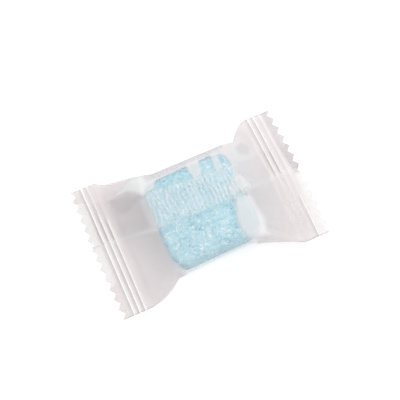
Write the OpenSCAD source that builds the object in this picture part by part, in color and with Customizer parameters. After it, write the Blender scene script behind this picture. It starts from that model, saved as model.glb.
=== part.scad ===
// Flow-wrapped cleaning tablet: one pressed tablet, heat-sealed in a pouch of milky film.
// Millimetres. X runs along the pouch, Y across it and Z up. The pouch lies on its plain
// side with the fin seal on top, and the origin is on the table at the middle of the pouch.

/* [Pouch] */
// Length of the filled pouch over its teeth
pouch_l = 83; // [78:1:100]
// Width of the film tube where it is pressed flat, at the end seals
pouch_w = 51.5; // [47:0.5:64]
// Thickness of the film
film_t = 0.25; // [0.15:0.05:0.4]
// Room between the tablet's long sides and the side folds of the film
side_room = 1.7; // [1.6:0.1:4]
// Height of the middle of the end seals above the table
seal_z = 4.5; // [3:0.5:8]
// Droop of the corners of an end seal below its middle
seal_droop = 1.6; // [0:0.1:2]
// Rise of one corner of an end seal and fall of the other, as the ends twist
seal_twist = 0.2; // [0:0.1:1]
// Height of the gathers that run from the tablet to the end seals
gather_h = 0.5; // [0:0.05:0.6]
// Number of gathers across the film
gather_n = 3; // [2:1:5]
// Where the back left, back right, front left and front right start to widen: 0 at the tablet, 1 at the seal
flare_start = [-0.4, 0.4, 0, -0.3]; // [-0.8:0.05:0.5]
// How soon each of those four sides swells: over 1 early, and under 1 late
flare_fullness = [0.7, 1.7, 1.8, 1.1]; // [0.5:0.1:2.5]

/* [End seals] */
// Number of ribs across each end seal
seal_ribs = 3; // [2:1:4]
// Distance from one rib to the next
seal_rib_pitch = 2.2; // [1.6:0.1:2.6]
// Height of a rib
seal_rib_h = 0.45; // [0.2:0.05:0.7]
// Flat film between the last rib and the roots of the teeth
flap_l = 2.4; // [1.4:0.2:4]
// Distance from one tooth to the next along the cut end
tooth_pitch = 3.9; // [2.8:0.1:5]
// Depth of a tooth
tooth_h = 1.6; // [0.8:0.1:2.4]
// How far the middle of a cut end stands out past its corners
end_bow = 0.8; // [0:0.2:3]
// How much further out the front corner of the right end lies than its back corner
right_slant = 1.8; // [0:0.2:4]

/* [Fin seal] */
// Width of the fin from its root to its free edge: left end, right end
fin_w = [16.5, 9.5]; // [8:0.5:17]
// Distance of the fin's root behind the pouch's middle: left end, over the tablet, right end
fin_root_y = [2.5, -2, 1]; // [-3:0.5:3]
// Distance from one cross rib of the fin to the next
fin_rib_pitch = 1.6; // [1.3:0.05:2.2]
// Height of a cross rib of the fin
fin_rib_h = 0.15; // [0.05:0.05:0.25]
// Gap between the folded fin and the film under it
fin_gap = 0.25; // [0.25:0.05:0.5]

/* [Tablet] */
// Length of the tablet
tablet_l = 35.5; // [30:0.5:40]
// Width of the tablet
tablet_w = 34; // [30:0.5:38]
// Thickness of the tablet
tablet_h = 11; // [8:0.5:14]
// Radius of the tablet's four corners, seen from above
tablet_corner_r = 6; // [5:0.5:10]
// Radius of the tablet's pressed rims
tablet_rim_r = 2.5; // [1.5:0.25:3.5]
// Room between the top of the tablet and the film
tablet_room = 0.3; // [0.3:0.1:1.5]
// How far the tablet lies to the right of the pouch's middle
tablet_x = 0.4; // [-1:0.2:1]
// How far the tablet lies behind the pouch's middle
tablet_y = -0.6; // [-0.8:0.2:0.8]
// Turn of the tablet in the pouch, whose front side fold follows it
tablet_turn = 2; // [-3:0.5:3]

/* [Hidden] */

// Stations along the pouch, from the middle outwards
half_l = pouch_l / 2;
tooth_root_x = half_l - tooth_h;
rib_end_x = tooth_root_x - flap_l;
seal_x = rib_end_x - seal_ribs * seal_rib_pitch;
lip_x = (tablet_l - tablet_rim_r) / 2;

// The share of the half width where the slanted right end reaches furthest, and how far that is
reach_e = min(1, right_slant / (4 * max(end_bow, 0.1)));
reach = reach_e * (right_slant / 2 - end_bow * reach_e);

// The film's shape beside and above the tablet
crease_h = 0.05;
waist = tablet_w / 2 + side_room;
tablet_mid_z = film_t + tablet_h / 2;
air_h = tablet_h / 2 + tablet_room;
boxy_power = 8;
oval_power = 2;
side_wall = 1.2;

// Facets. Each tooth is two columns wide. Each rib of the fin takes two of its stations, and the film
// under it has one for every fin_steps of them
teeth = round(pouch_w / tooth_pitch);
cells_y = 2 * teeth;
fin_steps = 3;
fin_station = fin_rib_pitch / 2;
cells_x = round(2 * seal_x / (fin_steps * fin_station));
rib_cells = 4;
fin_cells_y = 5;
rim_steps = 4;
slice_h = 0.01;
plan_fn = 24;

function clamp_share(t) = max(0, min(1, t));
function smooth(t) = let (c = clamp_share(t)) c * c * (3 - 2 * c);

// Share of the way from the tablet's rim to the end seal at station x, without and with its limits
function stretch(x) = (abs(x) - lip_x) / (seal_x - lip_x);
function run(x) = clamp_share(stretch(x));

// Which of the four quarters of the pouch a point lies in
function quarter(x, side) = (side > 0 ? 0 : 2) + (x < 0 ? 0 : 1);

// Half width of the film at station x, on the back (side over 0) or the front
function half_w(x, side) =
    let (
        q = quarter(x, side),
        start = flare_start[q],
        t = clamp_share((stretch(x) - start) / (1 - start))
    )
    waist + (pouch_w / 2 - waist) * (1 - pow(1 - t, flare_fullness[q]));

// Half height of the air space at station x, on the middle line
function half_h(x) = let (t = run(x)) air_h * (1 - (t + smooth(t)) / 2);

// How full the section is at share e of the half width: 1 on the middle line, 0 at the folds
function fullness(x, e) =
    let (n = oval_power + (boxy_power - oval_power) * (1 - smooth(run(x))))
    pow(max(0, 1 - pow(abs(e), n)), 1 / n);

// Height of an end seal's ribs at station x
function rib(x) =
    let (t = (abs(x) - seal_x) / seal_rib_pitch)
    t <= 0 || t >= seal_ribs ? 0 : seal_rib_h * (1 - cos(360 * t)) / 2;

// Middle surface of the pouch, which the gathers, the droop and the twist of the ends shape
function middle(x, e) =
    let (t = run(x), end = x < 0 ? -1 : 1)
    tablet_mid_z + (seal_z - tablet_mid_z) * smooth(t)
    + smooth(t) * (seal_twist * e * end - seal_droop * e * e)
    + gather_h * sin(180 * t) * cos(180 * gather_n * e) * (1 - e * e)
    + rib(x);

// Upper and lower face at share e of the half width, for skin = film_t outside and 0 inside
function top_z(x, e, skin) = middle(x, e) + crease_h + skin + half_h(x) * fullness(x, e);
function bottom_z(x, e, skin) =
    max(film_t - skin, middle(x, e) - crease_h - skin - half_h(x) * fullness(x, e));

// How far a point at share e of the half width lies to the right of its station x
function shift(x, e) =
    let (past_ribs = clamp_share((abs(x) - rib_end_x) / (half_l - rib_end_x)))
    -sign(x) * end_bow * e * e * past_ribs
    - (x > 0 ? (right_slant * e / 2 + reach) * smooth(run(x)) : 0);

// Share of the half width at column j: even at the seals, and closer at the folds beside the tablet
function column(x, j) =
    let (t = 2 * j / cells_y - 1, k = 1 - smooth(run(x)))
    (1 - k) * t + k * sin(90 * t);

// How far back the film's front side lies at station x, where it follows the turned tablet
function lean(x) = 1.5 * tan(tablet_turn) * x * (1 - smooth(run(x)));

// Half width of the film at station x on the front or the back, with the lean of the front
function side_w(x, side) = half_w(x, side) - (side < 0 ? lean(x) : 0);

// Y of a point at share e of the half width, for the outer or the inner skin
function across(x, e, skin) = e * (side_w(x, e) - side_wall * (film_t - skin));

// One ring of the pouch: the upper face from front to back, then the lower face back again
function ring(x, skin, tooth = 0) = [
    for (row = [0, 1], i = [0 : cells_y])
        let (
            j = row == 0 ? i : cells_y - i,
            px = x - sign(x) * tooth * (j % 2),
            e = column(px, j)
        )
        [
            px + shift(px, e),
            across(x, e, skin),
            row == 0 ? top_z(px, e, skin) : bottom_z(px, e, skin)
        ]
];

// Triangles between one ring of n points and the next, and across the first and last rings
function wall_faces(rings, n) = [
    for (i = [0 : rings - 2], k = [0 : n - 1])
        let (
            a = i * n + k,
            b = i * n + (k + 1) % n
        )
        each [[a, b, b + n], [a, b + n, a + n]]
];
function cap_faces(first, n, turn) = [
    for (k = [0 : n / 2 - 2])
        let (
            a = first + k,
            b = first + k + 1,
            c = first + n - 2 - k,
            d = first + n - 1 - k
        )
        each turn ? [[a, b, c], [a, c, d]] : [[c, b, a], [d, c, a]]
];

// A closed solid lofted through rings that all have n points
module loft(rings) {
    n = len(rings[0]);
    last = (len(rings) - 1) * n;
    polyhedron(
        points = [for (r = rings) each r],
        faces = concat(
            wall_faces(len(rings), n),
            cap_faces(0, n, false),
            cap_faces(last, n, true)
        )
    );
}

function reversed(list) = [for (i = [len(list) - 1 : -1 : 0]) list[i]];
function mirrored(list) = [for (x = reversed(list)) -x];

// Stations of the film body, and of the flat and ribbed seal at the right end
body_xs = [for (i = [1 : cells_x - 1]) seal_x * (2 * i / cells_x - 1)];
rib_xs = [for (i = [0 : rib_cells * seal_ribs]) seal_x + i * seal_rib_pitch / rib_cells];
seal_xs = concat(rib_xs, [tooth_root_x - film_t]);

// The film tube from cut end to cut end, with its toothed ends
module pouch_outside() {
    loft(concat(
        [ring(-half_l, film_t, tooth_h)],
        [for (x = concat(mirrored(seal_xs), body_xs, seal_xs)) ring(x, film_t)],
        [ring(half_l, film_t, tooth_h)]
    ));
}

// The air space that holds the tablet, closed at each end where the seal begins
module pouch_inside() {
    loft([for (x = concat([-seal_x], body_xs, [seal_x])) ring(x, 0)]);
}

// Y of the fin's root, and the fin's width, at station x
function root_y(x) = fin_root_y[1] + (fin_root_y[x < 0 ? 0 : 2] - fin_root_y[1]) * run(x);
function fin_width(x) = fin_w[0] + (fin_w[1] - fin_w[0]) * (x / pouch_l + 0.5);

// One ring of the fin at station x: welded into the film at its root, and in the end seals all the way
function fin_ring(x) =
    let (
        under = abs(x) >= seal_x ? -film_t : fin_gap,
        over = 2 * film_t + max(0, under)
    )
    [
        for (row = [0, 1], i = [0 : fin_cells_y])
            let (
                k = row == 0 ? i : fin_cells_y - i,
                y = root_y(x) + fin_width(x) * k / fin_cells_y,
                e = y / side_w(x, y),
                rise = row == 0 ? over : k == 0 ? -film_t / 2 : under
            )
            [x + shift(x, e), y, top_z(x, e, film_t) + rise]
    ];

// A ring of the fin between stations a and b, lifted by a cross rib all over but at the weld
function fin_between(a, b, share, lift) =
    let (
        ring = (1 - share) * fin_ring(a) + share * fin_ring(b),
        weld = len(ring) - 1
    )
    [for (k = [0 : weld]) ring[k] + [0, 0, k == weld ? 0 : lift]];

// The long seal, folded over onto the film, with its fine cross ribs
module fin() {
    xs = concat([-seal_x], body_xs, [seal_x]);
    loft(concat(
        [for (x = mirrored(seal_xs)) fin_ring(x)],
        [
            for (i = [0 : cells_x - 1], step = [i == 0 ? 1 : 0 : fin_steps - 1])
                fin_between(xs[i], xs[i + 1], step / fin_steps, fin_rib_h * ((fin_steps * i + step) % 2))
        ],
        [for (x = seal_xs) fin_ring(x)]
    ));
}

// One web of film: a tube closed by the fin seal along its back and by a ribbed seal at each end
module film_pouch() {
    color("#e3dee0", 0.5)
        union() {
            difference() {
                pouch_outside();
                pouch_inside();
            }
            fin();
        }
}

// A thin slice of the tablet, drawn in from its full outline
module tablet_slice(inset) {
    linear_extrude(slice_h)
        offset(r = tablet_corner_r - inset, $fn = plan_fn)
            square([tablet_l - 2 * tablet_corner_r, tablet_w - 2 * tablet_corner_r], center = true);
}

// The pressed tablet, with round corners and round rims, lying on the film
module tablet() {
    color("#b4dfe8")
        translate([tablet_x, tablet_y, film_t])
            rotate(tablet_turn)
                hull()
                    for (i = [0 : rim_steps]) {
                        inset = tablet_rim_r * (1 - sin(90 * i / rim_steps));
                        rise = tablet_rim_r * (1 - cos(90 * i / rim_steps));
                        translate([0, 0, rise]) tablet_slice(inset);
                        translate([0, 0, tablet_h - rise - slice_h]) tablet_slice(inset);
                    }
}

film_pouch();
tablet();
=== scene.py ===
"""A cleaning tablet sealed in a sachet of milky film, seen from above with its fin seal up.

The film is one web, as on the real sachet: a flat grid is folded into a tube, its two long edges
meet in the fin, and its ends are crimped and cut. Lengths are millimetres until a mesh is
written in metres.
"""

import logging
import math
from dataclasses import dataclass
from enum import Enum

import bmesh
import bpy
import numpy as np
from mathutils import Matrix, Vector, noise

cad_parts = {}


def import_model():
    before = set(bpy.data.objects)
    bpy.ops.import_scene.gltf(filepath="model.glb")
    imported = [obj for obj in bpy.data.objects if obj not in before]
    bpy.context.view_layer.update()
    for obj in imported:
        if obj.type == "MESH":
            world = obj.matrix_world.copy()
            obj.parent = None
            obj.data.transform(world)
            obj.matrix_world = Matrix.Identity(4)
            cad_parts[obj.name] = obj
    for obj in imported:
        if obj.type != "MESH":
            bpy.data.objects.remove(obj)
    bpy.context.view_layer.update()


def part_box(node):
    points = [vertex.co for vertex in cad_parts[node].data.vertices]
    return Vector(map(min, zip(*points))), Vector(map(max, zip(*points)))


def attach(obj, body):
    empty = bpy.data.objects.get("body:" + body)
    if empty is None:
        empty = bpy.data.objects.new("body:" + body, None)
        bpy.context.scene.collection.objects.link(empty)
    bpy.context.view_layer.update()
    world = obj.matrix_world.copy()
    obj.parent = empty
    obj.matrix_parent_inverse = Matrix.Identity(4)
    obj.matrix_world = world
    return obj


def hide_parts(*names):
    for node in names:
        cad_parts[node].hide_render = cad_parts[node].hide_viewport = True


LOG = logging.getLogger("sachet")
MM = 0.001
ROOT = "root"


def smooth(t: np.ndarray | float) -> np.ndarray | float:
    """Return a share eased at both ends, held between 0 and 1."""
    held = np.clip(t, 0.0, 1.0)
    return held * held * (3.0 - 2.0 * held)


def linear_colour(code: str) -> tuple[float, float, float, float]:
    """Turn an sRGB hex code into Blender's linear colour.

    Args:
        code: Six hex digits after a hash sign.

    Returns:
        Red, green, blue and an alpha of 1.
    """
    parts = [int(code[k : k + 2], 16) / 255.0 for k in (1, 3, 5)]
    line = [p / 12.92 if p <= 0.04045 else ((p + 0.055) / 1.055) ** 2.4 for p in parts]
    return (line[0], line[1], line[2], 1.0)


def add_node(
    tree: bpy.types.NodeTree, kind: str, settings: dict | None = None, **links: bpy.types.NodeSocket
) -> bpy.types.Node:
    """Add one node with its settings, its values and its links.

    Args:
        tree: The node tree that takes it.
        kind: The node's type name.
        settings: Properties of the node, and socket values by socket name or number.
        links: Socket name, with spaces as underscores, to the output that feeds it.

    Returns:
        The new node.
    """
    node = tree.nodes.new(kind)
    for name, value in (settings or {}).items():
        if isinstance(name, int) or name in node.inputs:
            node.inputs[name].default_value = value
        else:
            setattr(node, name, value)
    for name, output in links.items():
        key = int(name[1:]) if name[0] == "n" and name[1:].isdigit() else name.replace("_", " ")
        tree.links.new(output, node.inputs[key])
    return node


def new_material(name: str) -> bpy.types.Material:
    """Make an empty node material."""
    material = bpy.data.materials.new(name)
    material.use_nodes = True
    material.node_tree.nodes.clear()
    return material


def mesh_object(name: str, bm: bmesh.types.BMesh) -> bpy.types.Object:
    """Write a bmesh to a new smooth object at the origin.

    Args:
        name: The piece's name.
        bm: The mesh, in metres. It is freed.

    Returns:
        The object, linked to the scene.
    """
    mesh = bpy.data.meshes.new(name)
    bm.to_mesh(mesh)
    bm.free()
    mesh.shade_smooth()
    piece = bpy.data.objects.new(name, mesh)
    bpy.context.scene.collection.objects.link(piece)
    return piece


class FilmPart(Enum):
    """The stretches of the web, in the order in which it is folded."""

    FIN_UPPER = 0
    TOP_FRONT = 1
    BOTTOM = 2
    TOP_BACK = 3
    FIN_LOWER = 4


@dataclass(frozen=True)
class MilkyFilm:
    """Polypropylene packing film, cast with a matt face: it clouds what lies behind it."""

    # The faint mauve grey that two loose layers show the eye against white
    body: str = "#F7F0F1"
    # Film that is stretched, or stands on the tablet's edge, looks white; the same white is painted as highlights,
    # and as light over shaded film
    white: str = "#FFFFFF"
    # The grey of a few grey fields in the film, and of the painted shade beside the ribs, left of the tablet, along
    # the back and low on the right. The grey of a few fields that look like doubled film
    mark: str = "#C9C4C7"
    # A little of the light comes through the milk, so that the film glows over a white table
    through_share: float = 0.2
    matt: float = 0.6
    # A faint, wide sheen tells the eye that the skin is plastic, and not paper
    gloss: float = 0.36
    gloss_share: float = 0.02
    ior: float = 1.49
    # Crinkles of film that has been handled, at a spacing of such film
    crinkle_mm: float = 3.2
    crinkle_depth_mm: float = 0.025
    crinkle_strength: float = 0.6
    # The grain of the cast face, drawn some ten times coarser than real, or it would not show
    grain_mm: float = 0.45
    grain_depth_mm: float = 0.008
    grain_strength: float = 0.5
    # The streaks are partly whitened film and partly painted glints
    # Fine white streaks across the fin, at their spacing in the photo's scale
    streak_mm: float = 1.5
    streak_haze: float = 0.22
    streak_wander: float = 3.2
    # The flecks are painted glints of the crinkled film
    # White flecks in the film, at the size that they have in the photo's scale
    fleck_mm: float = 1.0
    fleck_depth_mm: float = 2.0
    fleck_haze: float = 0.6
    # How much more a streak or fleck whitens the film than it clouds it
    whiter: float = 3.0

    def material(self) -> bpy.types.Material:
        """Build the film's material: clear where it lies on the tablet, and cloudy elsewhere."""
        material = new_material("milky_cast_film")
        tree = material.node_tree
        place = add_node(tree, "ShaderNodeTexCoord")
        crinkle = add_node(
            tree,
            "ShaderNodeTexNoise",
            {"Scale": 1.0 / (self.crinkle_mm * MM), "Detail": 3.0, "Roughness": 0.55},
            Vector=place.outputs["Object"],
        )
        grain = add_node(
            tree,
            "ShaderNodeTexNoise",
            {"Scale": 1.0 / (self.grain_mm * MM), "Detail": 2.0},
            Vector=place.outputs["Object"],
        )
        folds = add_node(
            tree,
            "ShaderNodeBump",
            {"Strength": self.crinkle_strength, "Distance": self.crinkle_depth_mm * MM},
            Height=crinkle.outputs["Fac"],
        )
        bump = add_node(
            tree,
            "ShaderNodeBump",
            {"Strength": self.grain_strength, "Distance": self.grain_depth_mm * MM},
            Height=grain.outputs["Fac"],
            Normal=folds.outputs["Normal"],
        )
        whitened = self.whitened(tree, place)
        pale = add_node(tree, "ShaderNodeAttribute", {"attribute_name": "pale"})
        mark = add_node(tree, "ShaderNodeAttribute", {"attribute_name": "mark"})
        white_share = add_node(
            tree,
            "ShaderNodeMath",
            {"operation": "MULTIPLY_ADD", "use_clamp": True, 1: self.whiter},
            n0=whitened,
            n2=pale.outputs["Fac"],
        )
        paled = add_node(
            tree,
            "ShaderNodeMix",
            {"data_type": "RGBA", 6: linear_colour(self.body), 7: linear_colour(self.white)},
            n0=white_share.outputs[0],
        )
        colour = add_node(
            tree,
            "ShaderNodeMix",
            {"data_type": "RGBA", 7: linear_colour(self.mark)},
            n0=mark.outputs["Fac"],
            n6=paled.outputs[2],
        )
        skin = add_node(
            tree,
            "ShaderNodeBsdfPrincipled",
            {"Roughness": self.matt, "IOR": self.ior},
            Base_Color=colour.outputs[2],
            Normal=bump.outputs["Normal"],
        )
        through = add_node(
            tree,
            "ShaderNodeBsdfTranslucent",
            None,
            Color=colour.outputs[2],
            Normal=bump.outputs["Normal"],
        )
        milk = add_node(
            tree,
            "ShaderNodeMixShader",
            {0: self.through_share},
            n1=skin.outputs[0],
            n2=through.outputs[0],
        )
        clear = add_node(tree, "ShaderNodeBsdfTransparent")
        haze = add_node(tree, "ShaderNodeAttribute", {"attribute_name": "haze"})
        clouded = add_node(
            tree, "ShaderNodeMath", {"operation": "ADD", "use_clamp": True}, n0=haze.outputs["Fac"], n1=whitened
        )
        film = add_node(
            tree,
            "ShaderNodeMixShader",
            None,
            n0=clouded.outputs[0],
            n1=clear.outputs[0],
            n2=milk.outputs[0],
        )
        gloss = add_node(
            tree,
            "ShaderNodeBsdfGlossy",
            {"Color": (1, 1, 1, 1), "Roughness": self.gloss},
            Normal=bump.outputs["Normal"],
        )
        coated = add_node(
            tree,
            "ShaderNodeMixShader",
            {0: self.gloss_share},
            n1=film.outputs[0],
            n2=gloss.outputs[0],
        )
        add_node(tree, "ShaderNodeOutputMaterial", None, Surface=coated.outputs[0])
        return material

    def whitened(self, tree: bpy.types.NodeTree, place: bpy.types.Node) -> bpy.types.NodeSocket:
        """Add the nodes for the fine white streaks, partly stretched film turned white and partly painted glints, and
        for the flecks, painted glints.

        Args:
            tree: The material's node tree.
            place: The node that gives the Object coordinates.

        Returns:
            The socket that tells how much haze they add.
        """
        along = 2 * math.pi / (20 * self.streak_mm * MM)
        waves = add_node(
            tree,
            "ShaderNodeTexWave",
            {
                "bands_direction": "X",
                "Scale": along,
                "Distortion": self.streak_wander,
                "Detail": 2.0,
                "Detail Scale": 1.1,
                "Detail Roughness": 0.5,
            },
            Vector=place.outputs["Object"],
        )
        crest = add_node(
            tree,
            "ShaderNodeMapRange",
            {"From Min": 0.62, "From Max": 0.95, "To Max": self.streak_haze},
            Value=waves.outputs["Fac"],
        )
        streak = add_node(tree, "ShaderNodeAttribute", {"attribute_name": "streak"})
        streaked = add_node(
            tree, "ShaderNodeMath", {"operation": "MULTIPLY"}, n0=crest.outputs[0], n1=streak.outputs["Fac"]
        )
        size = (0.7 * self.fleck_mm * MM, self.fleck_mm * MM, self.fleck_depth_mm * MM)
        drawn = add_node(
            tree,
            "ShaderNodeMapping",
            {"vector_type": "POINT", "Scale": tuple(1 / s for s in size)},
            Vector=place.outputs["Object"],
        )
        cells = add_node(tree, "ShaderNodeTexVoronoi", {"Scale": 1.0}, Vector=drawn.outputs[0])
        pick = add_node(tree, "ShaderNodeSeparateColor", None, Color=cells.outputs["Color"])
        chosen = add_node(
            tree, "ShaderNodeMapRange", {"From Min": 0.55, "From Max": 0.6}, Value=pick.outputs["Red"]
        )
        near = add_node(
            tree,
            "ShaderNodeMapRange",
            {"From Min": 0.36, "From Max": 0.2, "To Max": self.fleck_haze},
            Value=cells.outputs["Distance"],
        )
        dots = add_node(
            tree, "ShaderNodeMath", {"operation": "MULTIPLY"}, n0=chosen.outputs[0], n1=near.outputs[0]
        )
        fleck = add_node(tree, "ShaderNodeAttribute", {"attribute_name": "fleck"})
        flecked = add_node(
            tree, "ShaderNodeMath", {"operation": "MULTIPLY"}, n0=dots.outputs[0], n1=fleck.outputs["Fac"]
        )
        both = add_node(
            tree, "ShaderNodeMath", {"operation": "ADD"}, n0=streaked.outputs[0], n1=flecked.outputs[0]
        )
        return both.outputs[0]


@dataclass(frozen=True)
class PressedPowder:
    """Cleaning powder pressed in a die: matt and pale blue, with darker and white grains."""

    # Three blues in soft patches, which tell the eye that the powder was mixed dry
    body: str = "#AAD9E7"
    deep: str = "#8CC5D7"
    pale: str = "#C9EAF2"
    dark: str = "#62ADC6"
    white: str = "#F4FBFC"
    # Clumps and cloudy patches, about as large as in the photo's scale
    mottle_mm: float = 1.1
    cloud_mm: float = 6.0
    # Dark grains and white crumbs, drawn about twice as coarse as real grains, so that they show
    speck_mm: float = 0.62
    squiggle_mm: float = 1.1
    # The rough skin of pressed powder, drawn a little coarser than real: it takes away all gloss
    grain_mm: float = 0.35
    grain_depth_mm: float = 0.12
    grain_strength: float = 0.8
    matt: float = 0.85
    ior: float = 1.45

    def material(self) -> bpy.types.Material:
        """Build the powder's material: mottled blue with dark and white grains."""
        material = new_material("pressed_powder")
        tree = material.node_tree
        place = add_node(tree, "ShaderNodeTexCoord")
        mottle = add_node(
            tree,
            "ShaderNodeTexNoise",
            {"Scale": 1.0 / (self.mottle_mm * MM), "Detail": 4.0, "Roughness": 0.7},
            Vector=place.outputs["Object"],
        )
        spread = add_node(
            tree,
            "ShaderNodeMapRange",
            {"From Min": 0.36, "From Max": 0.66},
            Value=mottle.outputs["Fac"],
        )
        cloud = add_node(
            tree,
            "ShaderNodeTexNoise",
            {"Scale": 1.0 / (self.cloud_mm * MM), "Detail": 2.0},
            Vector=place.outputs["Object"],
        )
        tone = add_node(
            tree, "ShaderNodeMapRange", {"From Min": 0.4, "From Max": 0.62}, Value=cloud.outputs["Fac"]
        )
        base = add_node(
            tree,
            "ShaderNodeMix",
            {"data_type": "RGBA", 6: linear_colour(self.body), 7: linear_colour(self.deep)},
            n0=tone.outputs[0],
        )
        ground = add_node(
            tree,
            "ShaderNodeMix",
            {"data_type": "RGBA", 7: linear_colour(self.pale)},
            n0=spread.outputs[0],
            n6=base.outputs[2],
        )
        cells = add_node(
            tree,
            "ShaderNodeTexVoronoi",
            {"Scale": 1.0 / (self.speck_mm * MM), "Randomness": 1.0},
            Vector=place.outputs["Object"],
        )
        pick = add_node(tree, "ShaderNodeSeparateColor", None, Color=cells.outputs["Color"])
        near = add_node(
            tree,
            "ShaderNodeMapRange",
            {"From Min": 0.55, "From Max": 0.3},
            Value=cells.outputs["Distance"],
        )
        crowd = add_node(
            tree,
            "ShaderNodeMath",
            {"operation": "MULTIPLY_ADD", 1: 0.5},
            n0=cloud.outputs["Fac"],
            n2=pick.outputs["Red"],
        )
        dark_pick = add_node(
            tree,
            "ShaderNodeMapRange",
            {"From Min": 1.19, "From Max": 1.24},
            Value=crowd.outputs[0],
        )
        dark_share = add_node(
            tree, "ShaderNodeMath", {"operation": "MULTIPLY"}, n0=near.outputs[0], n1=dark_pick.outputs[0]
        )
        darkened = add_node(
            tree,
            "ShaderNodeMix",
            {"data_type": "RGBA", 7: linear_colour(self.dark)},
            n0=dark_share.outputs[0],
            n6=ground.outputs[2],
        )
        threads = add_node(
            tree,
            "ShaderNodeTexNoise",
            {"Scale": 1.0 / (self.squiggle_mm * MM), "Detail": 1.0},
            Vector=place.outputs["Object"],
        )
        off_middle = add_node(
            tree, "ShaderNodeMath", {"operation": "SUBTRACT", 1: 0.5}, n0=threads.outputs["Fac"]
        )
        beside = add_node(tree, "ShaderNodeMath", {"operation": "ABSOLUTE"}, n0=off_middle.outputs[0])
        thin = add_node(
            tree, "ShaderNodeMapRange", {"From Min": 0.05, "From Max": 0.015}, Value=beside.outputs[0]
        )
        scatter = add_node(
            tree,
            "ShaderNodeTexNoise",
            {"noise_dimensions": "4D", "W": 3.0, "Scale": 1.0 / (self.squiggle_mm * 1.7 * MM), "Detail": 1.0},
            Vector=place.outputs["Object"],
        )
        some = add_node(
            tree, "ShaderNodeMapRange", {"From Min": 0.52, "From Max": 0.6}, Value=scatter.outputs["Fac"]
        )
        white_share = add_node(
            tree, "ShaderNodeMath", {"operation": "MULTIPLY"}, n0=thin.outputs[0], n1=some.outputs[0]
        )
        flecked = add_node(
            tree,
            "ShaderNodeMix",
            {"data_type": "RGBA", 7: linear_colour(self.white)},
            n0=white_share.outputs[0],
            n6=darkened.outputs[2],
        )
        grain = add_node(
            tree,
            "ShaderNodeTexNoise",
            {"Scale": 1.0 / (self.grain_mm * MM), "Detail": 3.0, "Roughness": 0.6},
            Vector=place.outputs["Object"],
        )
        bump = add_node(
            tree,
            "ShaderNodeBump",
            {"Strength": self.grain_strength, "Distance": self.grain_depth_mm * MM},
            Height=grain.outputs["Fac"],
        )
        powder = add_node(
            tree,
            "ShaderNodeBsdfPrincipled",
            {"Roughness": self.matt, "IOR": self.ior},
            Base_Color=flecked.outputs[2],
            Normal=bump.outputs["Normal"],
        )
        add_node(tree, "ShaderNodeOutputMaterial", None, Surface=powder.outputs[0])
        return material


@dataclass(frozen=True)
class PaleTable:
    """A white laminate table top, matt, which burns out to white and keeps the sachet's shadow."""

    top: str = "#FFFFFF"
    # What the camera sees on top of the table's own light
    lift: float = 0.29

    def material(self) -> bpy.types.Material:
        """Build the table's material, a little brighter to the eye than its light makes it."""
        material = new_material("pale_table")
        tree = material.node_tree
        flat = add_node(tree, "ShaderNodeBsdfDiffuse", {"Color": linear_colour(self.top)})
        path = add_node(tree, "ShaderNodeLightPath")
        seen = add_node(
            tree,
            "ShaderNodeMath",
            {"operation": "MAXIMUM"},
            n0=path.outputs["Is Camera Ray"],
            n1=path.outputs["Is Glossy Ray"],
        )
        seen_all = add_node(
            tree,
            "ShaderNodeMath",
            {"operation": "MAXIMUM"},
            n0=seen.outputs[0],
            n1=path.outputs["Is Transmission Ray"],
        )
        strength = add_node(
            tree, "ShaderNodeMath", {"operation": "MULTIPLY", 1: self.lift}, n0=seen_all.outputs[0]
        )
        glow = add_node(
            tree,
            "ShaderNodeEmission",
            {"Color": linear_colour(self.top)},
            Strength=strength.outputs[0],
        )
        both = add_node(tree, "ShaderNodeAddShader", None, n0=flat.outputs[0], n1=glow.outputs[0])
        add_node(tree, "ShaderNodeOutputMaterial", None, Surface=both.outputs[0])
        return material


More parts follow.
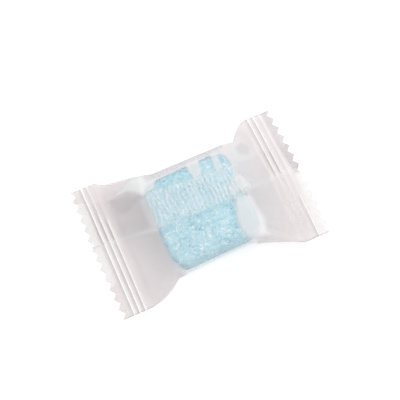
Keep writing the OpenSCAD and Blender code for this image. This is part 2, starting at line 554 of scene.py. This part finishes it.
@dataclass
class PressedTablet:
    """One tablet pressed in a die, with round corners and round rims."""

    length: float = 35.5
    width: float = 34.0
    turn_deg: float = 2.0
    corner_r: float = 6.0
    rim_r: float = 2.5
    corner_steps: int = 14
    rim_steps: int = 7
    cell: float = 0.8
    pit_mm: float = 1.3
    pit_depth: float = 0.12
    pit_from: float = 0.1

    def build(self) -> bpy.types.Object:
        """Press the tablet in the place of its solid, and dress it.

        Returns:
            The tablet.
        """
        low, high = (np.array(corner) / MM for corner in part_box("tablet"))
        height = high[2] - low[2]
        bm = bmesh.new()
        bmesh.ops.create_cube(bm, size=1.0)
        bmesh.ops.scale(bm, vec=Vector((self.length, self.width, height)), verts=bm.verts)
        upright = [e for e in bm.edges if abs(e.verts[0].co.z - e.verts[1].co.z) > height / 2]
        rounding = {"offset_type": "OFFSET", "affect": "EDGES", "profile": 0.5, "material": -1}
        bmesh.ops.bevel(bm, geom=upright, offset=self.corner_r, segments=self.corner_steps, **rounding)
        rims = [e for e in bm.edges if abs(e.verts[0].co.z - e.verts[1].co.z) < height / 100]
        bmesh.ops.bevel(bm, geom=rims, offset=self.rim_r, segments=self.rim_steps, **rounding)
        self.divide(bm, (self.length, self.width, height))
        self.pit(bm)
        turn = Matrix.Rotation(math.radians(self.turn_deg), 4, "Z")
        place = Matrix.Translation(Vector((low + high) / 2)) @ turn
        bmesh.ops.transform(bm, matrix=Matrix.Scale(MM, 4) @ place, verts=bm.verts)
        bmesh.ops.recalc_face_normals(bm, faces=bm.faces)
        piece = mesh_object("pressed_tablet", bm)
        piece.data.materials.append(PressedPowder().material())
        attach(piece, ROOT)
        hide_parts("tablet")
        return piece

    def divide(self, bm: bmesh.types.BMesh, size: tuple[float, float, float]) -> None:
        """Cut the faces into small cells, so that the pits have vertices to move.

        Args:
            bm: The tablet, centred on the origin.
            size: Its length, width and height.
        """
        for axis, reach in enumerate(size):
            normal = [0.0, 0.0, 0.0]
            normal[axis] = 1.0
            for k in range(1, round(reach / self.cell)):
                point = [0.0, 0.0, 0.0]
                point[axis] = reach * (k / round(reach / self.cell) - 0.5)
                everything = bm.verts[:] + bm.edges[:] + bm.faces[:]
                bmesh.ops.bisect_plane(bm, geom=everything, plane_co=point, plane_no=normal, dist=1e-4)

    def pit(self, bm: bmesh.types.BMesh) -> None:
        """Press shallow pits into the powder, where coarse grains have crumbled."""
        bm.normal_update()
        for vert in bm.verts:
            depth = noise.noise(vert.co / self.pit_mm) - self.pit_from
            vert.co -= vert.normal * self.pit_depth * max(0.0, depth)


@dataclass
class PouchShape:
    """The sizes of the filled pouch and the shape that they give its film."""

    # Sizes along the pouch
    tooth_h: float = 1.6
    flap_l: float = 2.4
    ribs: int = 3
    rib_pitch: float = 2.2
    end_bow: float = 0.8
    right_slant: float = 1.8
    # Sizes across it
    side_room: float = 1.7
    tablet_l: float = 35.5
    tablet_w: float = 34.0
    tablet_turn_deg: float = 2.0
    flare_start: tuple[float, ...] = (-0.4, 0.4, 0.0, -0.3)
    flare_fullness: tuple[float, ...] = (0.7, 1.7, 1.8, 1.1)
    fin_w: tuple[float, float] = (16.5, 9.5)
    fin_root_y: tuple[float, float, float] = (2.5, -2.0, 1.0)
    # Heights
    seal_z: float = 4.5
    seal_droop: float = 1.6
    seal_twist: float = 0.2
    gather_h: float = 0.5
    gather_n: int = 3
    rim_r: float = 2.5
    corner_r: float = 6.0
    tablet_room: float = 0.3
    oval_power: float = 2.0
    boxy_power: float = 8.0
    ply: float = 0.17
    floor_z: float = 0.045

    def __post_init__(self) -> None:
        """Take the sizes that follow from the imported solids."""
        low, high = (np.array(corner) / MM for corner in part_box("film_pouch"))
        tablet_low, tablet_high = (np.array(corner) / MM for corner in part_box("tablet"))
        self.half_l = float(high[0] - low[0]) / 2
        self.half_w = float(high[1] - low[1]) / 2
        self.rib_end_x = self.half_l - self.tooth_h - self.flap_l
        self.seal_x = self.rib_end_x - self.ribs * self.rib_pitch
        self.lip_x = (self.tablet_l - self.rim_r) / 2
        self.waist = self.tablet_w / 2 + self.side_room
        self.mid_z = float(tablet_low[2] + tablet_high[2]) / 2
        self.air_h = float(tablet_high[2] - tablet_low[2]) / 2 + self.tablet_room
        reach_e = min(1.0, self.right_slant / (4 * max(self.end_bow, 0.1)))
        self.reach = reach_e * (self.right_slant / 2 - self.end_bow * reach_e)

    def stretch(self, x: float) -> float:
        """Return the share of the way from the tablet's rim to the end seal, past 0 and 1 too."""
        return (abs(x) - self.lip_x) / (self.seal_x - self.lip_x)

    def run(self, x: float) -> float:
        """Return the share of the way from the tablet's rim to the end seal."""
        return min(1.0, max(0.0, self.stretch(x)))

    def eased(self, x: float) -> float:
        """Return run(x) eased at both ends."""
        return float(smooth(self.run(x)))

    def side_width(self, x: float, back: bool) -> float:
        """Return the half width of the film at station x, on its back or its front side."""
        quarter = (0 if back else 2) + (0 if x < 0 else 1)
        start = self.flare_start[quarter]
        t = min(1.0, max(0.0, (self.stretch(x) - start) / (1 - start)))
        return self.waist + (self.half_w - self.waist) * (1 - (1 - t) ** self.flare_fullness[quarter])

    def half_width(self, x: float, e: np.ndarray) -> np.ndarray:
        """Return the half width of the film at station x, on the side of each share e.

        The front side follows the turned tablet.
        """
        lean = 1.5 * math.tan(math.radians(self.tablet_turn_deg)) * x * (1 - self.eased(x))
        return np.where(e > 0, self.side_width(x, True), self.side_width(x, False) - lean)

    def middle(self, x: float, e: np.ndarray) -> np.ndarray:
        """Return the height of the surface midway between the film's two faces."""
        t, eased, end = self.run(x), self.eased(x), (-1 if x < 0 else 1)
        bend = eased * (self.seal_twist * e * end - self.seal_droop * e * e)
        gathers = self.gather_h * math.sin(math.pi * t) * np.cos(math.pi * self.gather_n * e) * (1 - e * e)
        return self.mid_z + (self.seal_z - self.mid_z) * eased + bend + gathers

    def fullness(self, x: float, e: np.ndarray) -> np.ndarray:
        """Return the film's distance from its middle surface at each share e of the half width."""
        power = self.oval_power + (self.boxy_power - self.oval_power) * (1 - self.eased(x))
        height = self.air_h * (1 - (self.run(x) + self.eased(x)) / 2) * float(smooth((1 - self.run(x)) * 4))
        return self.ply + height * np.clip(1 - np.abs(e) ** power, 0, None) ** (1 / power)

    def fin_root(self, x: float) -> float:
        """Return the y of the fin's root, which the tablet pushes to the front."""
        left, middle, right = self.fin_root_y
        return middle + ((left if x < 0 else right) - middle) * self.run(x)

    def fin_width(self, x: float) -> float:
        """Return the width of the fin, which was folded askew."""
        left, right = self.fin_w
        return left + (right - left) * (x / (2 * self.half_l) + 0.5)

    def true_x(self, x: float, e: np.ndarray, tooth: np.ndarray) -> np.ndarray:
        """Return the true x of the points of one station.

        Args:
            x: The station.
            e: The points' shares of the half width.
            tooth: How far the zigzag cut lies inside its tips there, from 0 to 1.

        Returns:
            The points' x, with the bow, the teeth and the slant of the ends.
        """
        past = max(0.0, abs(x) - self.rib_end_x) / (self.half_l - self.rib_end_x)
        out = abs(x) - self.end_bow * e * e * past - self.tooth_h * tooth * past
        slant = (self.right_slant * e / 2 + self.reach) * self.eased(x) if x > 0 else 0.0
        return (-1 if x < 0 else 1) * out - slant


@dataclass(frozen=True)
class Crease:
    """A soft fold of the film from one point to another."""

    start: tuple[float, float]
    end: tuple[float, float]
    height: float
    width: float = 1.3

    def rise(self, x: np.ndarray, y: np.ndarray) -> np.ndarray:
        """Return how far the crease lifts the film at each point."""
        (ax, ay), (bx, by) = self.start, self.end
        length = math.hypot(bx - ax, by - ay)
        along = ((x - ax) * (bx - ax) + (y - ay) * (by - ay)) / length**2
        beside = ((y - ay) * (bx - ax) - (x - ax) * (by - ay)) / length
        ends = np.sin(np.pi * np.clip(along, 0, 1))
        return self.height * ends * np.exp(-((beside / self.width) ** 2))


@dataclass(frozen=True)
class Patch:
    """A field of the film that is paler, cloudier or greyer than the rest, with soft edges."""

    outline: tuple[tuple[float, float], ...]
    pale: float = 0.0
    haze: float = 0.0
    mark: float = 0.0
    soft: float = 0.5

    def share(self, x: np.ndarray, y: np.ndarray) -> np.ndarray:
        """Return 1 well inside the outline and 0 well outside it."""
        nearest = np.full(x.shape, np.inf)
        inside = np.zeros(x.shape, dtype=bool)
        for (ax, ay), (bx, by) in zip(self.outline, self.outline[1:] + self.outline[:1]):
            dx, dy = bx - ax, by - ay
            along = np.clip(((x - ax) * dx + (y - ay) * dy) / (dx * dx + dy * dy), 0, 1)
            nearest = np.minimum(nearest, np.hypot(x - ax - along * dx, y - ay - along * dy))
            crosses = (ay > y) != (by > y)
            side = (x - ax) * (by - ay) - (y - ay) * (bx - ax)
            inside ^= crosses & ((side < 0) == (by > ay))
        signed = np.where(inside, nearest, -nearest)
        return smooth(signed / (2 * self.soft) + 0.5)


# On the top of the tube, off the fin: white fields where the film stands off the tablet and clouds, painted white as
# highlights, and painted light right of the tablet
TOP_PATCHES = (
    Patch(
        ((-25.3, 17.4), (-18.4, 19.3), (-12.0, 19.0), (-10.4, 16.3), (-11.9, 12.8), (-17.1, 11.8), (-21.7, 15.8)),
        pale=1,
        haze=0.42,
    ),
    Patch(((1.6, 18.0), (7.2, 18.6), (5.8, 10.9), (3.0, 9.3), (2.0, 12.8)), pale=1, haze=0.52),
    Patch(((11.4, 17.0), (13.6, 16.6), (13.8, 9.7), (10.8, 9.4)), pale=1, haze=0.44),
    Patch(
        ((13.3, -2.0), (18.5, -2.6), (20.0, -12), (19.0, -18.8), (12.4, -19), (10.4, -13), (11.2, -8.7)),
        pale=1,
        haze=0.52,
        soft=1.4,
    ),
    Patch(((-18.6, 11.6), (-13.3, 10.6), (-15.4, 3.4), (-16.6, -2.9), (-19.2, -1.9)), 0.7, 0.14, soft=0.8),
    Patch(((-10.7, 16.4), (-3.4, 17.0), (1.4, 16.6), (1.5, 11.7), (-5.2, 12.4), (-10.9, 12.6)), haze=-0.045),
    # Painted light: a paler field right of the tablet, over film that falls into shade
    Patch(((18.0, 16.0), (24.0, 20.0), (28.0, 12.0), (26.0, -2.0), (18.6, 0.0)), pale=0.9, soft=2.5),
    Patch(((1.0, -4.5), (11.0, -3.5), (10.0, -9.0), (10.0, -13.0), (2.0, -13.5)), haze=-0.035, soft=1.5),
)
# On the fin: a white field beside the tablet's right edge, a painted highlight
FIN_PATCHES = (
    Patch(
        ((18.6, 5.6), (20.8, -0.4), (15.9, -0.8), (12.3, -1.4), (12.4, 2.0), (15.7, 5.6)),
        pale=1,
        haze=0.38,
        soft=0.8,
    ),
)
# On all the film that faces up: the flaps past the seals with painted highlights, the grey fields, and fields of
# painted shade
FLAP_PATCHES = (
    # The left flap: clearer, so that the table shows through, and painted white as a highlight
    Patch(((-43, 21), (-37.8, 20.5), (-36.9, 17), (-38.0, 3), (-38, -8), (-39, -13), (-43, -12)), 1.0, -0.2),
    # Painted highlight on the lower right flap
    Patch(((43, -1), (38.4, -1), (37.5, -11), (37.3, -27), (43, -27)), pale=0.75),
    Patch(((43, -1), (38.2, -1), (37.0, 10), (36.3, 27), (43, 27)), mark=0.55, haze=0.05),
    Patch(
        (
            *((-28.8, 16.6), (-25.2, 16.5), (-21.3, 16.8), (-17.6, 13.4)),
            *((-17.1, 10.6), (-21.5, 10.4), (-24, 9.2), (-27.4, 9.8)),
        ),
        mark=0.32,
        haze=0.04,
        soft=0.6,
    ),
    # Painted shadow of the tablet, left of it
    Patch(((-27.3, 8.9), (-18.9, 8.0), (-17.9, -0.1), (-25.1, 0.4), (-28.9, 1.0), (-30.5, 3.7)), mark=0.15, soft=1.4),
    Patch(((21.2, 16.2), (24.7, 17.6), (26.6, 14.7), (25.3, 11.9), (21.4, 13.0)), mark=0.4, haze=0.03),
    # Painted shade along the back side of the pouch
    Patch(((-14, 21), (17, 21), (17.5, 16.9), (-14, 15.9)), mark=0.3, haze=0.06),
    # Painted shade low on the right of the pouch
    Patch(((17.5, -1.5), (30, -0.5), (37, -2), (37, -24), (24, -20), (16.5, -17)), mark=0.08, soft=1.2),
)
# Where the film has white flecks, painted glints, beside the right seal
FLECKS = Patch(((29.5, -6.5), (33.5, -6.5), (34.6, -13.0), (33.6, -20.5), (31.4, -19.5), (29.2, -11.5)), soft=1.0)


@dataclass
class FilmPouch:
    """One web of film, folded into a tube round the tablet, with its fin and its two end seals."""

    wall: float = 0.07
    # Cells of the web
    column_w: float = 0.66
    rib_cell: float = 0.22
    flap_cell: float = 0.5
    cells_per_fin_rib: int = 4
    teeth: int = 13
    samples: int = 181
    # Ribs
    rib_h: float = 0.3
    rib_w: float = 0.75
    fin_rib_pitch: float = 1.6
    fin_rib_h: float = 0.06
    # Where the ribs of each seal are pressed deep, from its innermost rib to its outermost
    left_ribs: tuple = (
        ((-26, 1), (9, 0.9), (12, 0.15), (26, 0.1)),
        ((-26, 1), (11, 0.9), (15, 0.3), (26, 0.5)),
        ((-26, 1), (26, 1)),
    )
    right_ribs: tuple = (
        ((-26, 0.05), (-7, 0.1), (-2, 0.25), (1, 0.3), (4, 0.8), (26, 0.9)),
        ((-26, 0.05), (-8, 0.1), (-5, 0.3), (0, 0.3), (4, 0.9), (26, 0.9)),
        ((-26, 0.9), (-11, 0.8), (-8, 0.15), (12, 0.2), (16, 0.3), (26, 0.3)),
    )
    # The folds of the fin over the film under it
    nose: float = 0.15
    rise_front: float = 2.2
    rise_back: float = 0.8
    spring_h: float = 0.2
    under_lift: float = 0.3
    over_lift: float = 0.5
    sealed_under_lift: float = 0.05
    sealed_over_lift: float = 0.1
    sealing_l: float = 3.0
    creases: tuple = (
        Crease((16.0, -12.0), (30.5, -22.0), 0.55),
        Crease((18.0, -5.0), (30.5, -8.0), 0.3, 1.8),
        Crease((16.0, 13.0), (30.5, 19.0), 0.4),
        Crease((-16.0, -13.0), (-31.0, -22.0), 0.5),
        Crease((-18.0, 4.0), (-31.0, 8.0), 0.3, 1.6),
        Crease((-16.0, 13.0), (-31.0, 20.0), 0.4),
    )
    crinkle_mm: float = 5.0
    crinkle_h: float = 0.1
    # How cloudy each face of the film is, off the tablet and where it lies on it
    loose_haze: float = 0.34
    lying_haze: float = 0.055
    fin_haze: float = 0.07
    fin_haze_on_tablet: float = 0.045
    # How much of its haze is left at a fold or a free edge, where the eye looks along it
    edge_haze: float = 0.06
    free_edge_w: float = 0.9
    side_fold: float = 0.25
    side_fold_from: float = 0.97
    # How far inside the tablet's outline the film still lies on it: at its front and its back
    off_front: float = 0.3
    off_back: float = 0.9
    down_front: float = 3.5
    off_soft: float = 1.2
    # The crests of the seals' ribs, which let the white through and are painted white, partly as whitened crimps and
    # partly as a highlight, and the painted shade beside each
    crest_clear: float = 0.85
    shade_at: float = 0.55
    shade_haze: float = 0.2
    shade_mark: float = 0.5
    # The fin's root, where the folded film is painted white, as light over the shade of its steep fold
    root_pale: float = 0.9
    root_w: float = 1.6

    def rib_share(self, x: float, y: np.ndarray) -> np.ndarray:
        """Return how far up a crest of an end seal's ribs each point of station x is."""
        t = (abs(x) - self.shape.seal_x) / self.shape.rib_pitch
        if t <= 0 or t >= self.shape.ribs:
            return np.zeros_like(y)
        from_crest = (t % 1.0 - 0.5) * self.shape.rib_pitch / (self.rib_w / 2)
        ys, depths = zip(*(self.left_ribs if x < 0 else self.right_ribs)[int(t)])
        return math.exp(-from_crest * from_crest) * np.interp(y, ys, depths)

    def sealed(self, x: float) -> float:
        """Return how far the layers of the fin are pressed together at station x."""
        return float(smooth((abs(x) - self.shape.seal_x + self.sealing_l) / self.sealing_l))

    def fin_crest(self, x: float, y: np.ndarray) -> np.ndarray:
        """Return how far up a crest of the fin's cross ribs each point of station x is."""
        fade = 1 - self.sealed(x)
        drift = np.array([0.7 * noise.noise(Vector((x / 6, v / 4, 5.0))) for v in y])
        return fade * (0.5 + 0.5 * np.cos(2 * math.pi * (x / self.fin_rib_pitch + drift)))

    def stations(self) -> np.ndarray:
        """Return the stations along the pouch, closest at the ribs of its end seals."""
        shape = self.shape
        cells = 2 * round(shape.seal_x * self.cells_per_fin_rib / self.fin_rib_pitch)
        self.fin_rib_pitch = 2 * shape.seal_x * self.cells_per_fin_rib / cells
        body = np.linspace(0, shape.seal_x, cells // 2 + 1)
        rib_cells = round(shape.ribs * shape.rib_pitch / self.rib_cell)
        ribs = np.linspace(shape.seal_x, shape.rib_end_x, rib_cells + 1)
        flap_cells = round((shape.half_l - shape.rib_end_x) / self.flap_cell)
        flap = np.linspace(shape.rib_end_x, shape.half_l, flap_cells + 1)
        right = np.concatenate([body, ribs[1:], flap[1:]])
        return np.concatenate([-right[:0:-1], right])

    def columns(self) -> dict[FilmPart, int]:
        """Return how many cells each stretch of the web has across it."""
        half = round(self.shape.half_w / self.column_w)
        fin = round(sum(self.shape.fin_w) / 2 / self.column_w)
        return {
            FilmPart.FIN_UPPER: fin,
            FilmPart.TOP_FRONT: half,
            FilmPart.BOTTOM: 2 * half,
            FilmPart.TOP_BACK: half,
            FilmPart.FIN_LOWER: fin,
        }

    def to_teeth(self, y: np.ndarray, share: float) -> np.ndarray:
        """Draw the columns that lie nearest to tips and roots of teeth onto them.

        Args:
            y: The y of the columns of one stretch of the web, rising or falling.
            share: How far to draw them, from 0 to 1.

        Returns:
            The new y of the columns.
        """
        if share <= 0:
            return y
        steps = np.linspace(-self.shape.half_w, self.shape.half_w, 2 * self.teeth + 1)
        low, high = min(y[0], y[-1]), max(y[0], y[-1])
        held = {0: y[0], len(y) - 1: y[-1]}
        for step in steps[(steps > low + 0.4) & (steps < high - 0.4)]:
            k = int(np.argmin(np.abs(y - step)))
            if k not in held:
                held[k] = step
        marks = sorted(held)
        return y + share * (np.interp(np.arange(len(y)), marks, [held[k] for k in marks]) - y)

    def cut(self, y: np.ndarray) -> np.ndarray:
        """Return how far the zigzag cut lies inside its tips at each y, from 0 to 1."""
        phase = (y + self.shape.half_w) / (2 * self.shape.half_w) * self.teeth
        return 1 - np.abs((phase % 1.0) - 0.5) * 2

    def section(self, x: float, columns: dict[FilmPart, int]) -> tuple[np.ndarray, np.ndarray]:
        """Fold one station of the web.

        Args:
            x: The station.
            columns: The cells of each stretch.

        Returns:
            The points of the web at this station, and the number of the stretch of each.
        """
        shape = self.shape
        e = np.sin(np.linspace(-math.pi / 2, math.pi / 2, self.samples))
        y = e * shape.half_width(x, e)
        mid = shape.middle(x, e) + self.rib_h * self.rib_share(x, y)
        full = shape.fullness(x, e)
        rough = np.array([noise.noise(Vector((x, v, 3.0)) / self.crinkle_mm) for v in y])
        waves = self.crinkle_h * rough
        rise = sum(c.rise(np.full_like(y, x), y) for c in self.creases) * (1 - np.abs(e) ** 4)
        top = mid + full + waves + rise
        bottom = np.maximum(shape.floor_z, mid - full + waves * shape.eased(x))
        top_arc = np.concatenate([[0], np.cumsum(np.hypot(np.diff(y), np.diff(top)))])
        low_arc = np.concatenate([[0], np.cumsum(np.hypot(np.diff(y), np.diff(bottom)))])
        root = shape.fin_root(x)
        width = shape.fin_width(x)
        root_arc = float(np.interp(root, y, top_arc))
        drawn = float(smooth((abs(x) - shape.rib_end_x) / (shape.half_l - shape.rib_end_x) * 2))
        sealed = self.sealed(x)
        under = self.under_lift + (self.sealed_under_lift - self.under_lift) * sealed
        over = self.over_lift + (self.sealed_over_lift - self.over_lift) * sealed
        rows, parts = [], []

        def lay(part: FilmPart, across: np.ndarray, heights: np.ndarray, lift: np.ndarray, keep: slice) -> None:
            """Add one stretch of the section.

            Args:
                part: The stretch.
                across: Its y.
                heights: The film's heights over y.
                lift: How far it lies above them.
                keep: Which of its columns aren't in the stretch before it.
            """
            across = self.to_teeth(across, drawn)
            rows.append(np.stack([across, np.interp(across, y, heights) + lift], axis=1)[keep])
            parts.extend([part.value] * len(rows[-1]))

        share = np.linspace(0, 1, columns[FilmPart.FIN_UPPER] + 1)
        share[1] = self.nose / width
        fin_y = root + width * share
        start = smooth(share * width / self.rise_back)
        ribs = self.fin_rib_h * (2 * self.fin_crest(x, fin_y) - 1) * start * (1 - sealed)
        spring = (1 - sealed) * self.spring_h * share**3
        lay(FilmPart.FIN_UPPER, fin_y[::-1], top, (over + ribs + spring)[::-1], slice(0, -1))
        arcs = np.linspace(root_arc, 0, columns[FilmPart.TOP_FRONT] + 1)
        front_y = np.interp(arcs, top_arc, y)
        lay(FilmPart.TOP_FRONT, front_y, top, over * smooth(1 - (root - front_y) / self.rise_front), slice(None))
        arcs = np.linspace(0, low_arc[-1], columns[FilmPart.BOTTOM] + 1)
        lay(FilmPart.BOTTOM, np.interp(arcs, low_arc, y), bottom, 0.0 * arcs, slice(1, None))
        arcs = np.linspace(top_arc[-1], root_arc, columns[FilmPart.TOP_BACK] + 1)
        arcs[-2] = root_arc + self.nose
        lay(FilmPart.TOP_BACK, np.interp(arcs, top_arc, y), top, 0.0 * arcs, slice(1, None))
        low_lift = under * start + ribs + spring
        lay(FilmPart.FIN_LOWER, fin_y, top, low_lift, slice(1, None))
        yz = np.concatenate(rows)
        true_e = yz[:, 0] / shape.half_width(x, yz[:, 0])
        return np.column_stack([shape.true_x(x, true_e, self.cut(yz[:, 0])), yz]), np.array(parts)

    def lying(self, x: np.ndarray, y: np.ndarray) -> np.ndarray:
        """Return how far the film lies on the tablet at each point, from 0 to 1.

        Args:
            x: The points' true x.
            y: Their y.

        Returns:
            1 inside the tablet's outline and down its front side, and 0 off it.
        """
        shape = self.shape
        low, high = (np.array(corner[:2]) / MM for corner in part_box("tablet"))
        (cx, cy), turn = (low + high) / 2, math.radians(shape.tablet_turn_deg)
        along = (x - cx) * math.cos(turn) + (y - cy) * math.sin(turn)
        beside = (y - cy) * math.cos(turn) - (x - cx) * math.sin(turn)
        past_x = np.abs(along) - shape.tablet_l / 2 + shape.corner_r
        past_y = np.abs(beside) - shape.tablet_w / 2 + shape.corner_r
        round_corner = np.hypot(np.maximum(past_x, 0), np.maximum(past_y, 0)) - shape.corner_r
        outside = np.maximum(round_corner, np.maximum(past_x, past_y) - shape.corner_r)
        outside += np.where(beside < 0, self.off_front, self.off_back)
        outside -= np.where(beside < 0, self.down_front * (1 - smooth(past_x / shape.corner_r)), 0.0)
        return 1 - smooth(outside / self.off_soft + 0.5)

    def fields(self, points: np.ndarray, parts: np.ndarray, stations: np.ndarray) -> dict[str, np.ndarray]:
        """Work out how cloudy, how pale and how grey the film is at each point, with painted highlights and shade.

        Args:
            points: The web's points, a row for each station.
            parts: The stretch of each point.
            stations: The stations.

        Returns:
            By name: the haze of each face, the shares of white and grey, and those of streaks and flecks.
        """
        shape = self.shape
        x, y = points[..., 0], points[..., 1]
        rows = [(float(station), row) for station, row in zip(stations, y)]
        lying = self.lying(x, y)
        in_fin = np.isin(parts, [FilmPart.FIN_UPPER.value, FilmPart.FIN_LOWER.value])
        upper = parts == FilmPart.FIN_UPPER.value
        below = parts == FilmPart.BOTTOM.value
        haze = np.where(in_fin, self.fin_haze, self.loose_haze)
        haze += np.where(in_fin, self.fin_haze_on_tablet - self.fin_haze, self.lying_haze - self.loose_haze) * lying
        pale = np.where(in_fin, 0.5 * lying, 0.0)
        mark = np.zeros_like(haze)
        for patches, where in ((TOP_PATCHES, ~(in_fin | below)), (FIN_PATCHES, upper), (FLAP_PATCHES, ~below)):
            for patch in patches:
                share = patch.share(x, y) * where
                haze += patch.haze * share
                pale = np.maximum(pale, patch.pale * share)
                mark = np.maximum(mark, patch.mark * share)
        # Painted highlight on the crests of the seals' ribs, partly whitened crimps, and painted shade beside each
        # crest
        ridge = np.array([self.rib_share(station, row) for station, row in rows])
        next_ridge = np.array([self.rib_share(station + self.shade_at, row) for station, row in rows])
        shade = np.maximum(0, next_ridge - ridge)
        haze = haze * (1 - self.crest_clear * ridge) + self.shade_haze * shade
        pale = np.maximum(pale, ridge)
        mark = np.maximum(mark, self.shade_mark * shade)
        side = np.array([np.abs(row) / shape.half_width(station, row) for station, row in rows])
        root = np.array([[shape.fin_root(station)] for station, _ in rows])
        width = np.array([[shape.fin_width(station)] for station, _ in rows])
        folded = self.side_fold * smooth((side - self.side_fold_from) / (1 - self.side_fold_from))
        folded = np.maximum(folded, (1 - smooth((root + width - y) / self.free_edge_w)) * in_fin)
        haze *= 1 - (1 - self.edge_haze) * folded
        # Painted light along the fin's root, over the shade of its fold
        pale = np.maximum(pale, self.root_pale * (1 - smooth(np.abs(y - root) / self.root_w)) * ~below)
        # Streaks across the fin: partly whitened crimps, partly painted glints; the flecks are painted glints
        broken = np.array([[noise.noise(Vector((s * 0.16, v * 0.3, 9.0))) for v in row] for s, row in rows])
        streak = lying * upper * smooth(0.45 + 1.8 * broken) * (0.3 + 0.7 * smooth((x + 3) / 5))
        front = parts == FilmPart.TOP_FRONT.value
        fleck = np.maximum(1.3 * FLECKS.share(x, y), 0.35 * lying * (1 - pale)) * front
        fleck = np.maximum(fleck, 0.6 * lying * upper)
        return {"haze": np.clip(haze, 0, 1), "pale": pale, "mark": mark, "streak": streak, "fleck": fleck}

    def build(self) -> bpy.types.Object:
        """Fold the web, give it its wall and dress it.

        Returns:
            The film.
        """
        self.shape = PouchShape()
        stations = self.stations()
        columns = self.columns()
        wide, long = sum(columns.values()), len(stations) - 1
        bm = bmesh.new()
        bmesh.ops.create_grid(bm, x_segments=long, y_segments=wide, size=0.5)
        piece = mesh_object("film_sachet", bm)
        flat = np.empty(len(piece.data.vertices) * 3)
        piece.data.vertices.foreach_get("co", flat)
        flat = flat.reshape(-1, 3)
        row = np.rint((flat[:, 0] - flat[:, 0].min()) / np.ptp(flat[:, 0]) * long).astype(int)
        column = np.rint((flat[:, 1] - flat[:, 1].min()) / np.ptp(flat[:, 1]) * wide).astype(int)
        folded = [self.section(float(x), columns) for x in stations]
        points = np.stack([section[0] for section in folded])
        parts = np.stack([section[1] for section in folded])
        piece.data.vertices.foreach_set("co", (points[row, column] * MM).ravel())
        for name, values in self.fields(points, parts, stations).items():
            layer = piece.data.attributes.new(name, "FLOAT", "POINT")
            layer.data.foreach_set("value", values[row, column])
        piece.data.update()
        thick = piece.modifiers.new("wall", "SOLIDIFY")
        thick.thickness = self.wall * MM
        thick.offset = 0.0
        piece.data.materials.append(MilkyFilm().material())
        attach(piece, ROOT)
        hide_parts("film_pouch")
        return piece


@dataclass
class Studio:
    """The table, the lights and the camera."""

    turn_deg: float = 23.6
    tilt_deg: float = 14.0
    distance_mm: float = 500.0
    photo_px: float = 400.0
    focal_px: float = 1367.0
    centre_px: tuple = (199.0, 211.2)
    sensor_mm: float = 36.0
    aim_z_mm: float = 5.0
    table_mm: float = 4000.0
    world_strength: float = 0.72
    key_watts: float = 1.35
    key_size_mm: float = 420.0
    key_place_mm: tuple = (300.0, 120.0, 520.0)

    def camera(self) -> bpy.types.Object:
        """Stand the camera where the photo's was, and make it the scene's camera."""
        turn, tilt = math.radians(self.turn_deg), math.radians(self.tilt_deg)
        right = Vector((math.cos(turn), -math.sin(turn), 0))
        level = Vector((math.sin(turn), math.cos(turn), 0))
        ahead = level * math.sin(tilt) - Vector((0, 0, math.cos(tilt)))
        up = right.cross(ahead)
        lens = bpy.data.cameras.new("camera")
        lens.sensor_width = self.sensor_mm
        lens.lens = self.sensor_mm * self.focal_px / self.photo_px
        lens.clip_start = 0.01
        lens.shift_x = (self.photo_px / 2 - self.centre_px[0]) / self.photo_px
        lens.shift_y = (self.centre_px[1] - self.photo_px / 2) / self.photo_px
        eye = bpy.data.objects.new("camera", lens)
        place = Vector((0, 0, self.aim_z_mm)) - ahead * self.distance_mm
        turned = Matrix((right, up, -ahead)).transposed().to_4x4()
        eye.matrix_world = Matrix.Translation(place * MM) @ turned
        bpy.context.scene.collection.objects.link(eye)
        bpy.context.scene.camera = eye
        return eye

    def table(self) -> bpy.types.Object:
        """Lay the table under the sachet."""
        bm = bmesh.new()
        bmesh.ops.create_grid(bm, x_segments=1, y_segments=1, size=self.table_mm * MM / 2)
        top = mesh_object("table", bm)
        top.data.materials.append(PaleTable().material())
        return top

    def lights(self) -> None:
        """Light the table from a bright sky and one soft box at the back right."""
        world = bpy.data.worlds.new("sky")
        world.use_nodes = True
        tree = world.node_tree
        tree.nodes.clear()
        sky = add_node(
            tree,
            "ShaderNodeBackground",
            {"Color": (1, 1, 1, 1), "Strength": self.world_strength},
        )
        white = add_node(tree, "ShaderNodeBackground", {"Color": (1, 1, 1, 1), "Strength": 1.0})
        path = add_node(tree, "ShaderNodeLightPath")
        both = add_node(
            tree,
            "ShaderNodeMixShader",
            None,
            n0=path.outputs["Is Camera Ray"],
            n1=sky.outputs[0],
            n2=white.outputs[0],
        )
        add_node(tree, "ShaderNodeOutputWorld", None, Surface=both.outputs[0])
        bpy.context.scene.world = world
        lamp = bpy.data.lights.new("key", "AREA")
        lamp.energy = self.key_watts
        lamp.size = self.key_size_mm * MM
        key = bpy.data.objects.new("key", lamp)
        place = Vector(self.key_place_mm) * MM
        key.location = place
        key.rotation_euler = (-place).to_track_quat("-Z", "Y").to_euler()
        bpy.context.scene.collection.objects.link(key)

    def build(self) -> None:
        """Set up the camera, the table, the lights and the view."""
        self.camera()
        self.table()
        self.lights()
        scene = bpy.context.scene
        scene.view_settings.view_transform = "Standard"
        scene.cycles.transparent_max_bounces = 32


def main() -> None:
    """Build the sachet and its studio."""
    logging.basicConfig(level=logging.INFO, format="%(name)s: %(message)s")
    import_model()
    Studio().build()
    for maker in (PressedTablet(), FilmPouch()):
        piece = maker.build()
        LOG.info("%s has %d faces", piece.name, len(piece.data.polygons))


if __name__ == "__main__":
    main()
